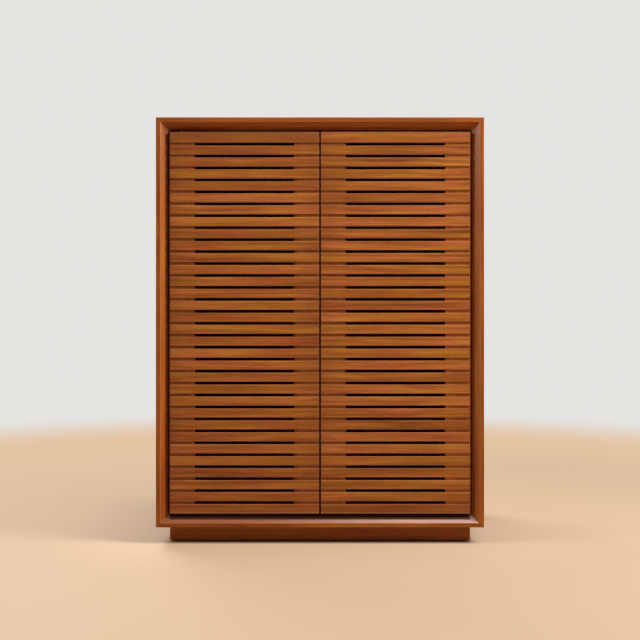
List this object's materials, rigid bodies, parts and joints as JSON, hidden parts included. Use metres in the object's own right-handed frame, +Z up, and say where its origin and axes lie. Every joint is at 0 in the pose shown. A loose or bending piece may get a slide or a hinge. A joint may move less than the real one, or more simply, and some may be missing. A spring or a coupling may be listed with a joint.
{
  "type": "slatted two-door storage cabinet",
  "caption": "Free-standing wooden cupboard with a mitred, bevelled case on a set-back plinth and inset doors faced with horizontal slats, with shelves behind.",
  "frame": {"origin": "on the floor, under the middle of the case", "axes": "+X to the right seen from the front, +Y from the front to the back, +Z up; the doors face -Y"},
  "size_m": [0.914, 0.457, 1.188],
  "materials": {
    "case_wood": "satin oiled reddish-brown hardwood",
    "slat_wood": "satin oiled reddish-brown hardwood, varied from slat to slat",
    "door_frame_wood": "satin oiled reddish-brown hardwood",
    "plinth_wood": "dark stained hardwood",
    "inner_wood": "bare sawn hardwood",
    "shelf_wood": "satin veneer",
    "back_board": "veneered plywood",
    "pivot_plate_metal": "dark bronze",
    "bright_steel": "turned steel",
    "shelf_pin_steel": "nickel plated",
    "screw_steel": "plated",
    "washer_plastic": "black nylon",
    "glide_plastic": "black nylon",
    "latch_plastic": "brown moulded",
    "plunger_plastic": "black moulded"
  },
  "bodies": {
    "case": {"top_panel": "case_wood", "bottom_panel": "case_wood", "left_side": "case_wood", "right_side": "case_wood", "mitre_splines": "inner_wood", "back_panel": "back_board", "back_panel_screws": "screw_steel", "plinth_front_rail": "plinth_wood", "plinth_back_rail": "plinth_wood", "plinth_left_rail": "plinth_wood", "plinth_right_rail": "plinth_wood", "plinth_corner_blocks": "inner_wood", "plinth_screws": "screw_steel", "floor_glides": "glide_plastic", "upper_shelf": "shelf_wood", "middle_shelf": "shelf_wood", "lower_shelf": "shelf_wood", "shelf_pins": "shelf_pin_steel", "left_latch_housing": "latch_plastic", "right_latch_housing": "latch_plastic", "latch_screws": "screw_steel", "pivot_washers": "washer_plastic", "case_pivot_screws": "screw_steel", "left_top_pivot_case_plate": "pivot_plate_metal", "left_bottom_pivot_case_plate": "pivot_plate_metal", "right_top_pivot_case_plate": "pivot_plate_metal", "right_bottom_pivot_case_plate": "pivot_plate_metal", "left_pivot_pins": "bright_steel", "right_pivot_pins": "bright_steel"},
    "left_door": {"left_door_hinge_stile": "door_frame_wood", "left_door_meeting_stile": "door_frame_wood", "left_door_top_rail": "door_frame_wood", "left_door_bottom_rail": "door_frame_wood", "left_door_slats": "slat_wood", "left_top_pivot_door_plate": "pivot_plate_metal", "left_bottom_pivot_door_plate": "pivot_plate_metal", "left_door_pivot_screws": "screw_steel", "left_strike_plate": "bright_steel", "left_strike_screw": "screw_steel"},
    "right_door": {"right_door_hinge_stile": "door_frame_wood", "right_door_meeting_stile": "door_frame_wood", "right_door_top_rail": "door_frame_wood", "right_door_bottom_rail": "door_frame_wood", "right_door_slats": "slat_wood", "right_top_pivot_door_plate": "pivot_plate_metal", "right_bottom_pivot_door_plate": "pivot_plate_metal", "right_door_pivot_screws": "screw_steel", "right_strike_plate": "bright_steel", "right_strike_screw": "screw_steel"},
    "left_latch_plunger": {"left_latch_plunger": "plunger_plastic"},
    "right_latch_plunger": {"right_latch_plunger": "plunger_plastic"}
  },
  "joints": [
    {"name": "left_door_swing", "type": "hinge", "parent": "case", "child": "left_door", "pos_m": [-0.39014, -0.2035, 0.616], "axis": [0, 0, -1], "range_deg": [0, 110]},
    {"name": "right_door_swing", "type": "hinge", "parent": "case", "child": "right_door", "pos_m": [0.39014, -0.2035, 0.616], "axis": [0, 0, 1], "range_deg": [0, 110]},
    {"name": "left_latch_press", "type": "slide", "parent": "case", "child": "left_latch_plunger", "axis": [0, 1, 0], "range_m": [0, 0.003], "stiffness_N_per_m": 150, "springref_m": -0.004},
    {"name": "right_latch_press", "type": "slide", "parent": "case", "child": "right_latch_plunger", "axis": [0, 1, 0], "range_m": [0, 0.003], "stiffness_N_per_m": 150, "springref_m": -0.004}
  ]
}
